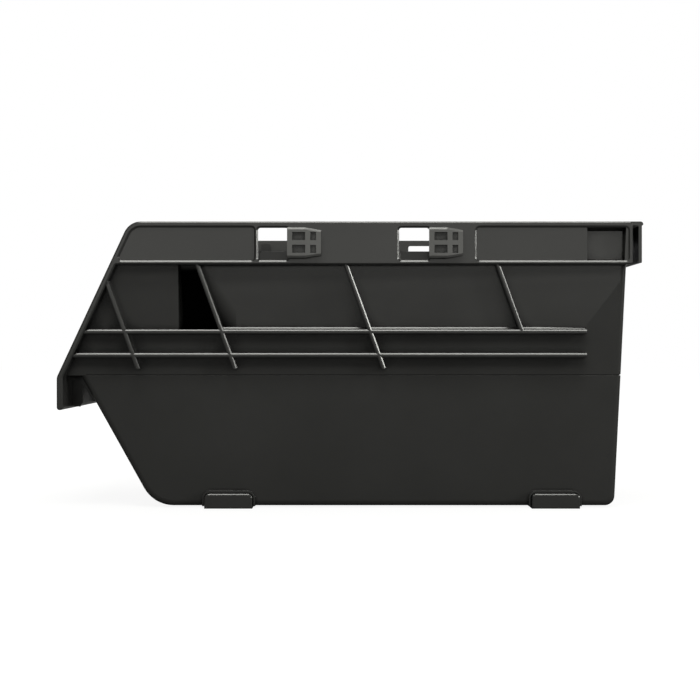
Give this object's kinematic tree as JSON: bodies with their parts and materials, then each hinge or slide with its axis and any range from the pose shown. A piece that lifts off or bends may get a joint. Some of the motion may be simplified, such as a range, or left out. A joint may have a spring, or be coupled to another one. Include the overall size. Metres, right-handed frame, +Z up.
{
  "type": "open-front stacking storage bin",
  "caption": "Black open-fronted stacking bin with a slanted mouth, front lip, ribbed sides, sliding side connector hooks, stacking feet and a back lip that hangs on a rail.",
  "frame": {"origin": "on the floor, under the middle of the overall box", "axes": "+Z up, +X from the open front towards the back wall, +Y to the bin's left side"},
  "size_m": [0.3, 0.1732, 0.1474],
  "materials": {
    "shell": "satin moulded polypropylene with a fine grain",
    "connector": "satin moulded plastic, a little lighter than the bin"
  },
  "bodies": {
    "bin": {"rim_frame": "shell", "lower_tub": "shell", "foot_right_front": "shell", "foot_right_rear": "shell", "foot_left_front": "shell", "foot_left_rear": "shell"},
    "connector_right_front": {"hook_right_front": "connector", "retainer_right_front": "connector"},
    "connector_right_rear": {"hook_right_rear": "connector", "retainer_right_rear": "connector"},
    "connector_left_front": {"hook_left_front": "connector", "retainer_left_front": "connector"},
    "connector_left_rear": {"hook_left_rear": "connector", "retainer_left_rear": "connector"}
  },
  "joints": [
    {"name": "slide_right_front", "type": "slide", "parent": "bin", "child": "connector_right_front", "axis": [-1, 0, 0], "range_m": [0, 0.0159]},
    {"name": "slide_right_rear", "type": "slide", "parent": "bin", "child": "connector_right_rear", "axis": [-1, 0, 0], "range_m": [0, 0.0159]},
    {"name": "slide_left_front", "type": "slide", "parent": "bin", "child": "connector_left_front", "axis": [1, 0, 0], "range_m": [0, 0.0159]},
    {"name": "slide_left_rear", "type": "slide", "parent": "bin", "child": "connector_left_rear", "axis": [1, 0, 0], "range_m": [0, 0.0159]}
  ]
}
